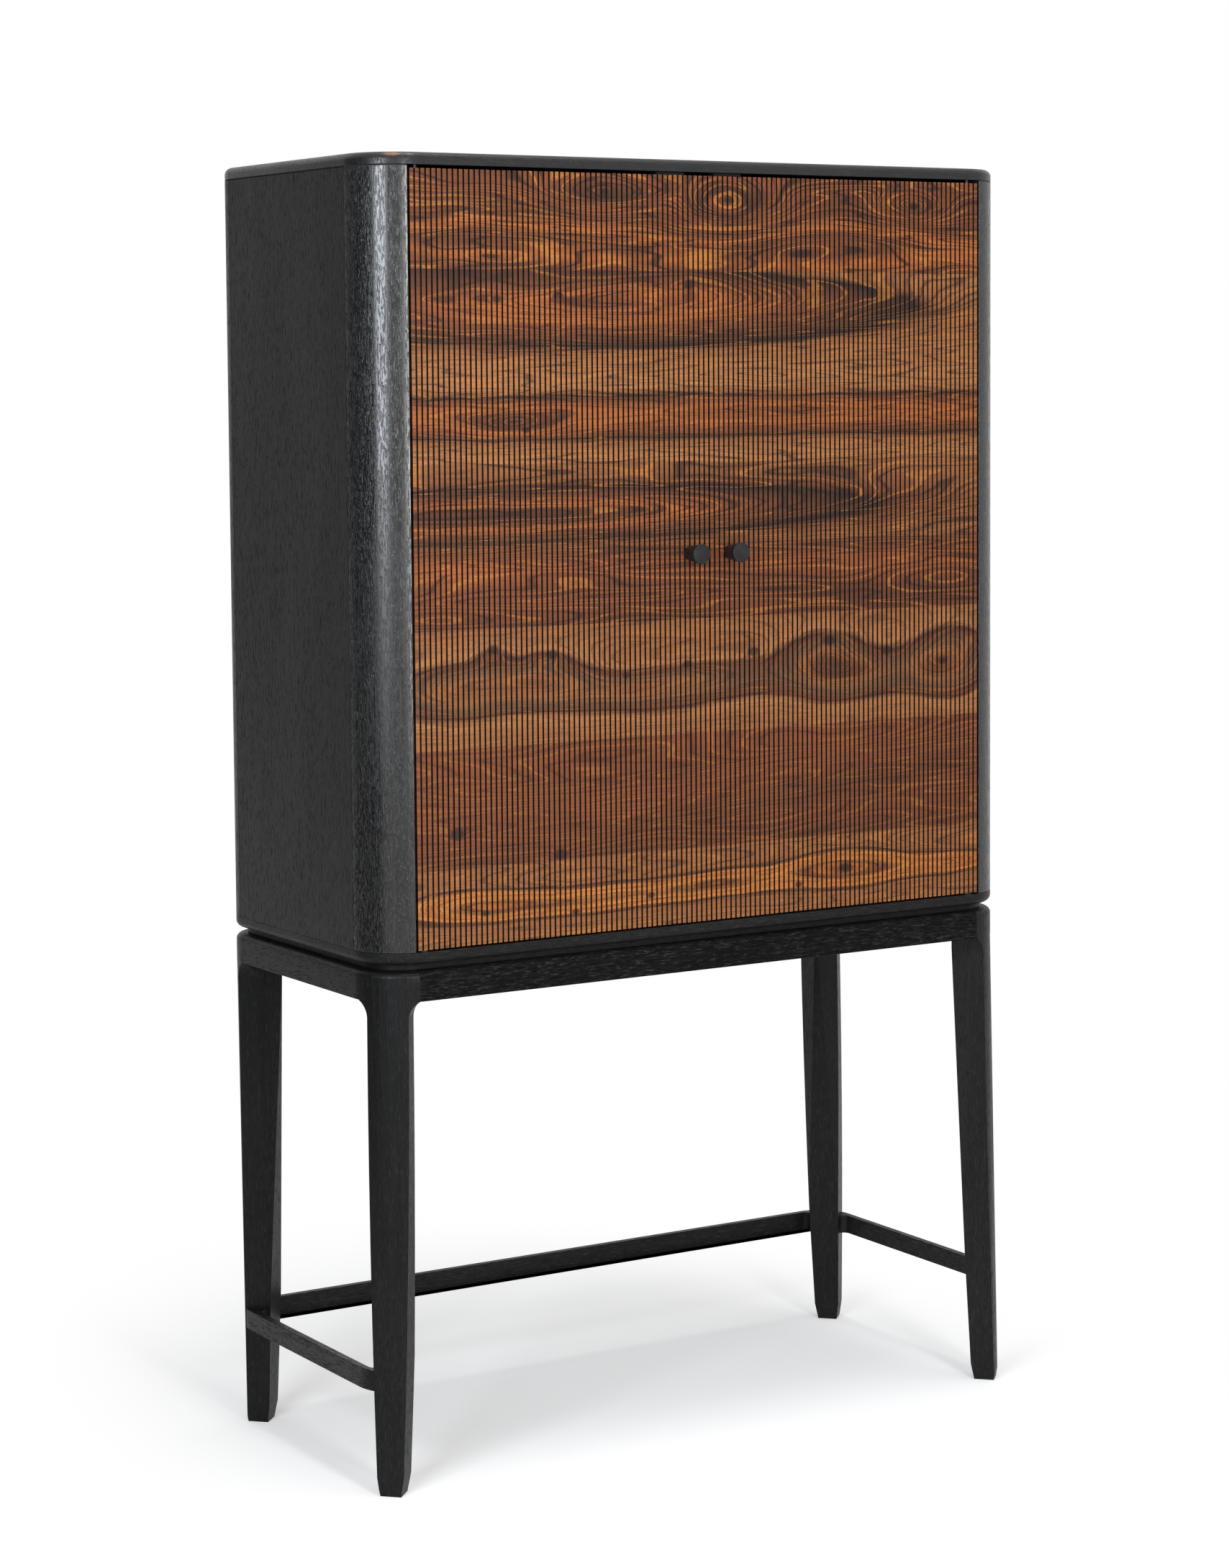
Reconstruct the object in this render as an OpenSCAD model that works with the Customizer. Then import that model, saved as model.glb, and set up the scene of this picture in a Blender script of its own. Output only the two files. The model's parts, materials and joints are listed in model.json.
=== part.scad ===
// Highboard: a two-door cabinet with rounded corner posts, carried on a raised four-legged stand.
// Millimetres. X runs to the right, the front faces -Y, +Z is up and the floor is z = 0.
// The origin is the middle of the bounding box on the floor, the knobs counted in.

/* [Overall] */
// height from the floor to the top surface
height = 1600; // [1450:10:1750]
// width over the side faces
width = 940; // [840:10:1040]
// depth from the front plane to the back plane, without the knobs
depth = 425; // [385:5:465]
// plan radius of the two front corners
front_r = 65; // [60:1:70]
// plan radius of the two back corners
back_r = 50; // [44:1:52]

/* [Carcass] */
// thickness of the top and bottom panels
slab_t = 15; // [14:1:22]
// radius rolled over the outer edge of the top and bottom panels
slab_roll = 9; // [6:0.5:11]
// thickness of the side panels and of the back corner posts
side_t = 18; // [17:1:22]
// width of a front corner post, seen from the front
post_w = 51; // [48:1:54]
// thickness of the back panel
back_t = 8; // [5:1:9]
// set-back of the back panel from the back plane
back_in = 6; // [4:1:7]
// depth of the grooves that hold the back panel
groove_in = 6; // [4:1:7]
// thickness of a shelf
shelf_t = 18; // [15:1:22]
// play between a shelf and the wood around it
shelf_play = 1; // [0.5:0.25:2]
// diameter of the carcass dowels
dowel_d = 8; // [6:1:9]
// depth of a dowel in a top or bottom panel
dowel_in = 9; // [7:1:10]
// depth of a dowel in a post or side panel
dowel_up = 20; // [16:1:26]

/* [Doors] */
// thickness of a door
door_t = 20; // [18:1:22]
// number of grooves in one door
groove_count = 56; // [48:1:60]
// width of one groove
groove_w = 2.4; // [2:0.1:2.8]
// depth of one groove
groove_d = 3; // [2:0.25:3.25]
// gap between a door and its corner post
gap_side = 3; // [2.75:0.25:4]
// gap between the two doors
gap_mid = 2.4; // [2:0.1:4]
// gap above the doors
gap_top = 4; // [3:0.5:5]
// gap below the doors, filled by the pivot washer
gap_bottom = 2; // [1.5:0.25:3]

/* [Pivots] */
// distance of the pivot from the outer edge of the door
pivot_x = 11; // [10.5:0.25:12]
// distance of the pivot behind the front face of the door
pivot_y = 8; // [7.5:0.25:8.5]
// diameter of a pivot pin
pin_d = 5; // [4:0.5:6]
// wall of a pivot bush
bush_wall = 1.5; // [0.75:0.25:1.5]
// length of a pivot bush
bush_l = 22; // [18:1:28]
// running clearance between pin and bush, on the radius
pin_play = 0.05; // [0.03:0.01:0.09]
// depth of a pivot pin in a top or bottom panel
pin_in = 9; // [7:1:10]
// diameter of the washer under a door
washer_d = 13; // [11:1:14]

/* [Knobs] */
// diameter of the knob at its face
knob_d = 25; // [22:1:30]
// diameter of the knob at the door
knob_base_d = 17; // [14:1:20]
// length of the knob
knob_l = 28; // [24:1:34]
// height of the knobs as a share of the door height
knob_share = 0.498; // [0.42:0.002:0.58]
// distance of a knob from the inner edge of its door
knob_in = 28; // [24:1:36]
// diameter of the knob screw
screw_d = 4; // [3:0.5:5]
// depth of the knob screw in the knob
screw_in = 14; // [10:1:18]

/* [Stand] */
// height of the underside of the aprons
leg_clear = 597; // [540:1:640]
// height of the aprons
apron_h = 36; // [32:1:44]
// thickness of the aprons
apron_t = 22; // [20:1:24]
// radius rolled over the upper outer edge of the stand
apron_roll = 8; // [5:0.5:10]
// height of the recessed spacer between stand and carcass
spacer_h = 8; // [6:1:14]
// set-back of the spacer from the faces of the cabinet
spacer_in = 14; // [12:1:17]
// width of the frame of the spacer
spacer_w = 50; // [44:1:60]
// side of the square block at the top of a leg
leg_block = 55; // [53:1:58]
// half the width of a leg below its block
leg_half = 25.9; // [24:0.1:28]
// half the width of the foot
foot_half = 16; // [14:0.1:18]
// height of the cove under the block
cove_h = 21; // [18:1:30]
// distance of the foot from the sharp corner of the plan, along the diagonal
foot_edge = 16.5; // [14:0.5:19]
// width of the foot along the diagonal
foot_deep = 32.2; // [28:0.1:36]
// forward rake of the two back feet
rake = 18.5; // [10:0.5:24]
// bevel at the sole of a foot
foot_bevel = 3; // [1:0.5:4]
// height of that bevel
bevel_h = 22; // [14:1:30]
// diameter of the dowels between aprons and legs
stand_dowel_d = 8; // [6:1:9]
// depth of those dowels in the wood at each side of the joint
stand_dowel_in = 17; // [12:1:18]

/* [Stretchers] */
// height of the underside of the stretchers
stretch_z = 124; // [110:1:160]
// height of a stretcher
stretch_h = 25; // [20:1:30]
// thickness of a stretcher
stretch_t = 10; // [8:0.5:12]
// set-back of the back stretcher from the back plane
stretch_back = 9; // [7:0.5:11]
// radius of the flares where a stretcher meets a leg
flare_r = 8; // [5:0.5:8.5]
// shoulder around the tenon of a stretcher
tenon_edge = 2.5; // [2:0.25:3]
// length of the tenon in the leg
tenon_l = 9; // [6:1:11]

/* [Fittings] */
// width of a magnetic catch
catch_w = 40; // [36:1:46]
// height of a magnetic catch
catch_h = 12; // [11:1:14]
// depth of a magnetic catch
catch_l = 15; // [13:1:18]
// distance of the middle of a catch from the middle of the cabinet
catch_x = 42; // [40:1:60]
// diameter of the screws that hold a catch
catch_screw_d = 3; // [2.5:0.5:4]
// diameter of a shelf support peg
peg_d = 5; // [4:0.5:5.5]
// depth of a shelf support peg in the side panel
peg_in = 9; // [7:1:10]
// size of the square pad of a shelf support
pad_w = 9; // [8:0.5:11]
// thickness of the pad of a shelf support
pad_t = 6; // [6:0.5:8]
// length of the two cleats behind the aprons
cleat_l = 360; // [300:10:420]
// section of a cleat
cleat_w = 24; // [20:1:28]
// diameter of the bolts that hold the stand to the carcass
bolt_d = 5; // [4:0.5:6]
// depth of those bolts in the bottom panel
bolt_in = 9; // [7:1:10]
// diameter of the screws that hold a cleat
cleat_screw_d = 4; // [3:0.5:5]

/* [Hidden] */
$fn = 64;

// heights
stand_top = leg_clear + apron_h;
low_z = stand_top + spacer_h;
floor_z = low_z + slab_t;
roof_z = height - slab_t;
door_z0 = floor_z + gap_bottom;
door_z1 = roof_z - gap_top;
door_h = door_z1 - door_z0;
knob_z = door_z0 + knob_share * door_h;
dowel_z = stand_top - apron_h / 2;

// plan: the door face lies where the curve of the post ends
hw = width / 2;
door_set = arc_drop(front_r, front_r - post_w);
knob_out = knob_l - door_set;
fy = -(depth - knob_out) / 2;
by = fy + depth;
door_y = fy + door_set;
door_back = door_y + door_t;
door_x1 = hw - post_w - gap_side;
door_x0 = gap_mid / 2;
door_w = door_x1 - door_x0;
slat_w = (door_w - groove_count * groove_w) / (groove_count + 1);
pitch = slat_w + groove_w;
pin_x = door_x1 - pivot_x;
pin_y = door_y + pivot_y;
knob_x = door_x0 + knob_in;
bush_d = pin_d + 2 * pin_play + 2 * bush_wall;
back_y0 = by - back_in - back_t;

// shelves
room_h = (roof_z - floor_z - 3 * shelf_t) / 4;
shelf_y0 = fy + front_r + 5;
shelf_y1 = by - side_t - shelf_play;
peg_y = [shelf_y0 + 30, by - back_r - 30];

// fittings
strike_h = 9;
magnet_h = 6;
cleat_z = stand_top - cleat_w;
bolt_x = cleat_l / 2 - 60;
post_in = 26;
catch_screw_in = 9;
panel_dowel_y = [fy + front_r + 50, by - back_r - 50];
side_run = depth - front_r - back_r;

// legs: straight steps that follow the bowed sides, and the leg at the height of the stretchers
side_steps = 6;
ledge = 0.12;
stretch_mid = stretch_z + stretch_h / 2;
leg_fall = (leg_clear - stretch_mid) / leg_clear;
leg_n = leg_side(stretch_mid / (leg_clear - cove_h));

function arc_drop(r, x) = r - sqrt(r * r - x * x);
function shelf_z(i) = floor_z + i * (room_h + shelf_t) - shelf_t;

// plan outline of the cabinet, set in by a distance and with the back moved forward
module outline(in = 0, fore = 0) {
    b = by - fore;
    union() {
        translate([-hw + front_r, fy + in]) square([2 * (hw - front_r), b - fy - 2 * in]);
        translate([-hw + in, fy + front_r]) square([2 * (hw - in), b - back_r - fy - front_r]);
        translate([-hw + back_r, b - back_r]) square([2 * (hw - back_r), back_r - in]);
        for (s = [-1, 1]) {
            translate([s * (hw - front_r), fy + front_r]) circle(r = front_r - in);
            translate([s * (hw - back_r), b - back_r]) circle(r = back_r - in);
        }
    }
}

// quarter of a disc, as the section of a rolled edge
module quarter(r) {
    intersection() {
        circle(r = r);
        square([r + 1, r + 1]);
    }
}

// flat plate in the plan outline, its upper outer edge rolled over
module rolled_plate(h, r) {
    union() {
        linear_extrude(height = h - r) outline();
        translate([0, 0, h - r]) linear_extrude(height = r) outline(r);
        translate([0, 0, h - r]) {
            for (s = [-1, 1]) {
                translate([s * (hw - r), fy + front_r, 0])
                    rotate([90, 0, 90 - s * 90]) translate([0, 0, s > 0 ? -side_run : 0])
                        linear_extrude(height = side_run) quarter(r);
                translate([s * (hw - front_r), fy + front_r, 0])
                    rotate([0, 0, s > 0 ? 270 : 180]) rotate_extrude(angle = 90)
                        translate([front_r - r, 0]) quarter(r);
                translate([s * (hw - back_r), by - back_r, 0])
                    rotate([0, 0, s > 0 ? 0 : 90]) rotate_extrude(angle = 90)
                        translate([back_r - r, 0]) quarter(r);
            }
            translate([hw - front_r, fy + r, 0])
                rotate([90, 0, -90]) linear_extrude(height = 2 * (hw - front_r)) quarter(r);
            translate([-hw + back_r, by - r, 0])
                rotate([90, 0, 90]) linear_extrude(height = 2 * (hw - back_r)) quarter(r);
        }
    }
}

// places the four corners of the plan, the shape drawn for the front left one
module at_corner(i) {
    c = [[-hw, fy, 0], [hw, fy, 90], [hw, by, 180], [-hw, by, 270]][i];
    translate([c[0], c[1], 0]) rotate([0, 0, c[2]]) children();
}

// carcass dowels: upright pegs between the panels and the uprights
module dowels(d = dowel_d) {
    for (s = [-1, 1]) {
        for (z = [floor_z - dowel_in, roof_z - dowel_up]) {
            translate([s * (hw - post_in), fy + front_r - post_in, z])
                cylinder(h = dowel_in + dowel_up, d = d);
            for (y = panel_dowel_y)
                translate([s * (hw - side_t / 2), y, z]) cylinder(h = dowel_in + dowel_up, d = d);
            translate([
                s * (hw - back_r + (back_r - side_t / 2) * sin(45)),
                by - back_r + (back_r - side_t / 2) * sin(45),
                z
            ]) cylinder(h = dowel_in + dowel_up, d = d);
        }
    }
}

// screws, pins, bolts and dowels, drawn as rods and taken out of the wood around them
module catch_screw_rods() {
    for (s = [-1, 1])
        for (t = [-1, 1])
            translate([s * catch_x + t * (catch_w / 2 - 6), door_back + catch_l * 0.6, 0]) {
                translate([0, 0, roof_z - catch_h]) cylinder(h = catch_h + catch_screw_in, d = catch_screw_d);
                translate([0, 0, roof_z - catch_h - 2]) cylinder(h = 2, d = 2 * catch_screw_d);
            }
}

module pin_rods(s) {
    translate([s * pin_x, pin_y, floor_z - pin_in])
        cylinder(h = pin_in + gap_bottom + bush_l - 2, d = pin_d);
    translate([s * pin_x, pin_y, door_z1 - bush_l + 2])
        cylinder(h = bush_l - 2 + gap_top + pin_in, d = pin_d);
}

module bolt_rods() {
    for (s = [-1, 1])
        for (y = [fy + apron_t + cleat_w / 2, by - apron_t - cleat_w / 2])
            translate([s * bolt_x, y, 0]) {
                translate([0, 0, cleat_z]) cylinder(h = cleat_w + spacer_h + bolt_in, d = bolt_d);
                translate([0, 0, cleat_z - 3]) cylinder(h = 3, d = 2 * bolt_d);
            }
}

module cleat_screw_rods() {
    for (x = [-cleat_l / 2 + 25, 0, cleat_l / 2 - 25])
        for (s = [-1, 1])
            translate([x, (s < 0 ? fy + apron_t : by - apron_t) - s * cleat_w, cleat_z + cleat_w / 2])
                rotate([-s * 90, 0, 0]) {
                    cylinder(h = cleat_w + apron_t / 2, d = cleat_screw_d);
                    translate([0, 0, -2.5]) cylinder(h = 2.5, d = 2 * cleat_screw_d);
                }
}

module apron_pegs() {
    for (i = [0:3])
        at_corner(i) {
            translate([leg_block - stand_dowel_in, apron_t - 8, dowel_z])
                rotate([0, 90, 0]) cylinder(h = 2 * stand_dowel_in, d = stand_dowel_d);
            translate([apron_t - 8, leg_block - stand_dowel_in, dowel_z])
                rotate([-90, 0, 0]) cylinder(h = 2 * stand_dowel_in, d = stand_dowel_d);
        }
}

module top_panel() {
    color([0.05, 0.05, 0.05])
        difference() {
            translate([0, 0, roof_z]) rolled_plate(slab_t, slab_roll);
            translate([-hw + back_r - groove_in, back_y0, roof_z - 1])
                cube([2 * (hw - back_r + groove_in), back_t, groove_in + 1]);
            dowels();
            pin_rods(-1);
            pin_rods(1);
            catch_screw_rods();
        }
}

module bottom_panel() {
    color([0.05, 0.05, 0.05])
        difference() {
            translate([0, 0, floor_z]) rotate([0, 180, 0]) rolled_plate(slab_t, slab_roll);
            translate([-hw + back_r - groove_in, back_y0, floor_z - groove_in])
                cube([2 * (hw - back_r + groove_in), back_t, groove_in + 1]);
            dowels();
            pin_rods(-1);
            pin_rods(1);
            bolt_rods();
        }
}

module side_panel(s) {
    color([0.05, 0.05, 0.05])
        difference() {
            translate([s > 0 ? hw - side_t : -hw, fy + front_r, floor_z])
                cube([side_t, side_run, roof_z - floor_z]);
            dowels();
            support_shapes();
        }
}

module left_side_panel() {
    side_panel(-1);
}

module right_side_panel() {
    side_panel(1);
}

module corner_post(s) {
    color([0.05, 0.05, 0.05])
        difference() {
            translate([0, 0, floor_z]) linear_extrude(height = roof_z - floor_z)
                intersection() {
                    translate([s * (hw - front_r), fy + front_r]) circle(r = front_r);
                    translate([s > 0 ? hw - post_w : -hw, fy]) square([post_w, front_r]);
                }
            dowels();
        }
}

module left_corner_post() {
    corner_post(-1);
}

module right_corner_post() {
    corner_post(1);
}

module back_post(s) {
    color([0.05, 0.05, 0.05])
        difference() {
            translate([0, 0, floor_z]) linear_extrude(height = roof_z - floor_z)
                intersection() {
                    translate([s * (hw - back_r), by - back_r]) difference() {
                        circle(r = back_r);
                        circle(r = back_r - side_t);
                    }
                    translate([s > 0 ? hw - back_r : -hw, by - back_r]) square([back_r, back_r]);
                }
            translate([-hw + back_r - groove_in, back_y0, floor_z - 1])
                cube([2 * (hw - back_r + groove_in), back_t, roof_z - floor_z + 2]);
            dowels();
        }
}

module left_back_post() {
    back_post(-1);
}

module right_back_post() {
    back_post(1);
}

module back_panel() {
    color([0.12, 0.1, 0.09])
        translate([-hw + back_r - groove_in, back_y0, floor_z - groove_in])
            cube([2 * (hw - back_r + groove_in), back_t, roof_z - floor_z + 2 * groove_in]);
}

module shelf(i) {
    x = hw - side_t - shelf_play;
    r = back_r - side_t - shelf_play;
    color([0.36, 0.2, 0.11])
        translate([0, 0, shelf_z(i)]) linear_extrude(height = shelf_t)
            union() {
                translate([-x, shelf_y0]) square([2 * x, shelf_y1 - r - shelf_y0]);
                translate([-x + r, shelf_y0]) square([2 * (x - r), shelf_y1 - shelf_y0]);
                for (s = [-1, 1])
                    translate([s * (x - r), shelf_y1 - r]) circle(r = r);
            }
}

module lower_shelf() {
    shelf(1);
}

module middle_shelf() {
    shelf(2);
}

module upper_shelf() {
    shelf(3);
}

module support_shapes() {
    for (i = [1:3])
        for (s = [-1, 1])
            for (y = peg_y)
                translate([s * (hw - side_t), y, shelf_z(i) - pad_t]) {
                    translate([s > 0 ? -pad_w : 0, -pad_w / 2, 0]) cube([pad_w, pad_w, pad_t]);
                    translate([0, 0, pad_t / 2]) rotate([0, s * 90, 0])
                        cylinder(h = peg_in, d = peg_d);
                }
}

module shelf_supports() {
    color([0.6, 0.6, 0.6]) support_shapes();
}

module carcass_dowels() {
    color([0.72, 0.56, 0.36]) dowels();
}

// door panel with upright grooves in its front face
module door_panel(s) {
    x0 = s > 0 ? door_x0 : -door_x1;
    color([0.35, 0.16, 0.08])
        difference() {
            translate([x0, door_y, door_z0]) linear_extrude(height = door_h)
                difference() {
                    square([door_w, door_t]);
                    for (i = [1:groove_count])
                        translate([i * pitch - groove_w, -1]) square([groove_w, groove_d + 1]);
                }
            for (z = [door_z0 - 1, door_z1 - bush_l])
                translate([s * pin_x, pin_y, z]) cylinder(h = bush_l + 1, d = bush_d);
            knob_rod(s);
            strike_shape(s);
        }
}

module left_door_panel() {
    door_panel(-1);
}

module right_door_panel() {
    door_panel(1);
}

module knob_rod(s) {
    translate([s * knob_x, door_back, knob_z]) rotate([90, 0, 0]) {
        cylinder(h = door_t + screw_in, d = screw_d);
        translate([0, 0, -2.5]) cylinder(h = 2.5, d = 2 * screw_d);
    }
}

module knob(s) {
    color([0.03, 0.03, 0.03])
        difference() {
            translate([s * knob_x, door_y, knob_z]) rotate([90, 0, 0]) {
                cylinder(h = knob_l - 1, d1 = knob_base_d, d2 = knob_d);
                translate([0, 0, knob_l - 1]) cylinder(h = 1, d1 = knob_d, d2 = knob_d - 2);
            }
            knob_rod(s);
        }
}

module left_knob() {
    knob(-1);
}

module right_knob() {
    knob(1);
}

module left_knob_screw() {
    color([0.6, 0.6, 0.6]) knob_rod(-1);
}

module right_knob_screw() {
    color([0.6, 0.6, 0.6]) knob_rod(1);
}

module pivot_bushes(s) {
    color([0.7, 0.55, 0.25])
        for (z = [door_z0, door_z1 - bush_l])
            translate([s * pin_x, pin_y, z]) difference() {
                cylinder(h = bush_l, d = bush_d);
                translate([0, 0, -1]) cylinder(h = bush_l + 2, d = pin_d + 2 * pin_play);
            }
}

module left_pivot_bushes() {
    pivot_bushes(-1);
}

module right_pivot_bushes() {
    pivot_bushes(1);
}

module left_pivot_pins() {
    color([0.6, 0.6, 0.6]) pin_rods(-1);
}

module right_pivot_pins() {
    color([0.6, 0.6, 0.6]) pin_rods(1);
}

module pivot_washer(s) {
    color([0.7, 0.55, 0.25])
        translate([s * pin_x, pin_y, floor_z]) difference() {
            cylinder(h = gap_bottom, d = washer_d);
            translate([0, 0, -1]) cylinder(h = gap_bottom + 2, d = pin_d);
        }
}

module left_pivot_washer() {
    pivot_washer(-1);
}

module right_pivot_washer() {
    pivot_washer(1);
}

module magnet_shapes() {
    for (s = [-1, 1])
        translate([s * catch_x - 10, door_back, roof_z - catch_h + 1]) cube([20, 5, magnet_h]);
}

module catch_cases() {
    color([0.08, 0.08, 0.08])
        difference() {
            for (s = [-1, 1])
                translate([s * catch_x - catch_w / 2, door_back, roof_z - catch_h])
                    cube([catch_w, catch_l, catch_h]);
            magnet_shapes();
            catch_screw_rods();
        }
}

module catch_magnets() {
    color([0.3, 0.3, 0.32]) magnet_shapes();
}

module catch_screws() {
    color([0.6, 0.6, 0.6]) catch_screw_rods();
}

module strike_shape(s) {
    translate([s * catch_x - 12, door_back - 1, door_z1 - 1 - strike_h]) cube([24, 1, strike_h]);
    translate([s * catch_x, door_back - 1, door_z1 - 1 - strike_h / 2])
        rotate([90, 0, 0]) cylinder(h = 8, d = 4);
}

module left_strike_plate() {
    color([0.65, 0.65, 0.66]) strike_shape(-1);
}

module right_strike_plate() {
    color([0.65, 0.65, 0.66]) strike_shape(1);
}

module spacer_frame() {
    color([0.02, 0.02, 0.02])
        difference() {
            translate([0, 0, stand_top]) linear_extrude(height = spacer_h)
                difference() {
                    outline(spacer_in);
                    translate([-hw + spacer_in + spacer_w, fy + spacer_in + spacer_w])
                        square([2 * (hw - spacer_in - spacer_w), depth - 2 * (spacer_in + spacer_w)]);
                }
            bolt_rods();
        }
}

// the whole stand ring as one rolled plate, from which aprons and blocks are taken
module stand_ring() {
    translate([0, 0, leg_clear]) rolled_plate(apron_h, apron_roll);
}

// view of a leg along its diagonal: bowed sides that lean with the rake, with a cove at the top
function leg_side(t) = leg_half - (leg_half - foot_half) * (1 - t) * (1 - t);

module leg_profile(rr, ns) {
    nb = (leg_block - (leg_block < rr ? arc_drop(rr, rr - leg_block) : 0)) / sqrt(2);
    cz = leg_clear - cove_h;
    off = ns * cove_h / leg_clear;
    cr = nb - leg_half - off;
    cl = nb - leg_half + off;
    r1 = (cr * cr + cove_h * cove_h) / (2 * cr);
    r2 = (cl * cl + cove_h * cove_h) / (2 * cl);
    tb = bevel_h / cz;
    steps = [for (i = [0:side_steps]) tb + (1 - tb) * i / side_steps];
    difference() {
        polygon(concat(
            [[ns + foot_half - foot_bevel, 0]],
            [for (t = steps) [ns + (off - ns) * t + leg_side(t), cz * t]],
            [[off + leg_half + r1, cz], [off + leg_half + r1, leg_clear]],
            [[off - leg_half - r2, leg_clear], [off - leg_half - r2, cz]],
            [for (i = [side_steps:-1:0]) [ns + (off - ns) * steps[i] - leg_side(steps[i]), cz * steps[i]]],
            [[ns - foot_half + foot_bevel, 0]]
        ));
        translate([off + leg_half + r1, cz]) circle(r = r1 + 0.02);
        translate([off - leg_half - r2, cz]) circle(r = r2 + 0.02);
    }
}

function rake_u(i) = i == 3 ? rake : 0;
function rake_v(i) = i == 2 ? rake : 0;

// slab that follows the two sides of a leg and runs on along the diagonal
module leg_slab(i) {
    rotate([0, 0, -45]) rotate([90, 0, 0]) linear_extrude(height = 260, center = true)
        leg_profile(i < 2 ? front_r : back_r, (rake_u(i) - rake_v(i)) / sqrt(2));
}

// part of a leg below its block, for the corner at the origin
module leg_low(i) {
    rr = i < 2 ? front_r : back_r;
    du = rake_u(i);
    dv = rake_v(i);
    o = ((sqrt(2) - 1) * rr - foot_edge) / sqrt(2);
    a = [o - du, o - dv, leg_clear];
    w1 = foot_edge + (du + dv) / sqrt(2);
    w2 = w1 + foot_deep;
    wt = leg_block * sqrt(2) + 1;
    intersection() {
        leg_slab(i);
        rotate([0, 0, 45]) rotate([90, 0, 0]) linear_extrude(height = 260, center = true)
            polygon([
                [w1 + foot_bevel, 0],
                [w2 - foot_bevel, 0],
                [w2 + (wt - w2) * bevel_h / leg_clear, bevel_h],
                [wt, leg_clear],
                [-80, leg_clear],
                [-80, (w1 + foot_bevel + 80) * bevel_h / foot_bevel]
            ]);
        translate([rr + ledge, rr + ledge, leg_clear]) rotate([0, acos(a[2] / norm(a)), atan2(a[1], a[0])])
            cylinder(h = 3 * leg_clear, r = rr, center = true, $fn = 128);
        translate([leg_block, 0, leg_clear]) rotate([0, -atan(du / leg_clear), 0])
            translate([-300, -100, -1.5 * leg_clear]) cube([300, 400, 1.5 * leg_clear + 100]);
        translate([0, leg_block, leg_clear]) rotate([atan(dv / leg_clear), 0, 0])
            translate([-100, -300, -1.5 * leg_clear]) cube([400, 300, 1.5 * leg_clear + 100]);
    }
}

module leg(i) {
    color([0.05, 0.05, 0.05])
        difference() {
            union() {
                at_corner(i) leg_low(i);
                intersection() {
                    stand_ring();
                    at_corner(i) translate([0, 0, leg_clear]) cube([leg_block, leg_block, apron_h]);
                }
            }
            apron_pegs();
            tenon(i, 1);
            tenon(i, -1);
        }
}

module front_left_leg() {
    leg(0);
}

module front_right_leg() {
    leg(1);
}

module back_right_leg() {
    leg(2);
}

module back_left_leg() {
    leg(3);
}

module apron(p, size) {
    color([0.05, 0.05, 0.05])
        difference() {
            intersection() {
                stand_ring();
                translate([p[0], p[1], leg_clear]) cube([size[0], size[1], apron_h]);
            }
            apron_pegs();
            cleat_screw_rods();
        }
}

module front_apron() {
    apron([-hw + leg_block, fy], [2 * (hw - leg_block), apron_t]);
}

module back_apron() {
    apron([-hw + leg_block, by - apron_t], [2 * (hw - leg_block), apron_t]);
}

module left_apron() {
    apron([-hw, fy + leg_block], [apron_t, depth - 2 * leg_block]);
}

module right_apron() {
    apron([hw - apron_t, fy + leg_block], [apron_t, depth - 2 * leg_block]);
}

module apron_dowels() {
    color([0.72, 0.56, 0.36]) apron_pegs();
}

// band along the plan outline, from which the stretchers are cut
module band(in, w) {
    difference() {
        outline(in, stretch_back);
        outline(in + w, stretch_back);
    }
}

// The functions below work in one corner: n runs across the diagonal, w inward along it.
// A side is 1 towards the corner's first inward axis and -1 towards its second.
function lean(i) = (i == 3 ? 1 : i == 2 ? -1 : 0) * rake * leg_fall / sqrt(2);
function leg_line(i, side) = lean(i) + side * leg_n;
function has_stretcher(i, side) = i > 1 || (i == 0 && side < 0) || (i == 1 && side > 0);
function is_back(i, side) = (i == 3 && side < 0) || (i == 2 && side > 0);
function arc_mid(i) = i < 2
    ? [0, front_r * sqrt(2)]
    : [(i == 3 ? 1 : -1) * stretch_back / sqrt(2), (2 * back_r + stretch_back) / sqrt(2)];

// part of the plan on the stretcher's side of a line through the leg
module beyond(i, side) {
    n = leg_line(i, side) - side * 6;
    at_corner(i) rotate([0, 0, -45])
        translate([side > 0 ? n : n - 2000, -2000]) square([2000, 4000]);
}

// flare in plan between the inner face of a stretcher and the side of a leg
module flare(i, side) {
    line = leg_line(i, side);
    m = arc_mid(i);
    ri = (i < 2 ? front_r : back_r) - stretch_t;
    r = flare_r;
    flat = i > 1 && !is_back(i, side);
    cn = line + side * r;
    cw = flat
        ? sqrt(2) * (stretch_t + r) + abs(cn)
        : m[1] - sqrt((ri - r) * (ri - r) - (cn - m[0]) * (cn - m[0]));
    aw = flat ? stretch_t * sqrt(2) + abs(line) : m[1] - sqrt(ri * ri - (line - m[0]) * (line - m[0]));
    way = flat ? [side, -1] / sqrt(2) : [cn - m[0], cw - m[1]] / (ri - r);
    at_corner(i) rotate([0, 0, -45]) difference() {
        polygon([
            [line - side * 4, aw - 3],
            [line - side * 4, cw],
            [cn, cw],
            [cn, cw] + way * (r + 4)
        ]);
        translate([cn, cw]) circle(r = r + 0.15);
    }
}

// tenon of a stretcher, reaching from the bar into the leg
module tenon(i, side) {
    if (has_stretcher(i, side))
        translate([0, 0, stretch_z + tenon_edge]) linear_extrude(height = stretch_h - 2 * tenon_edge)
            intersection() {
                band(tenon_edge, stretch_t - 2 * tenon_edge);
                at_corner(i) square([130, 130]);
                at_corner(i) rotate([0, 0, -45])
                    translate([leg_line(i, side) - (side > 0 ? tenon_l : 4), 0])
                        square([tenon_l + 4, 200]);
            }
}

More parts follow.
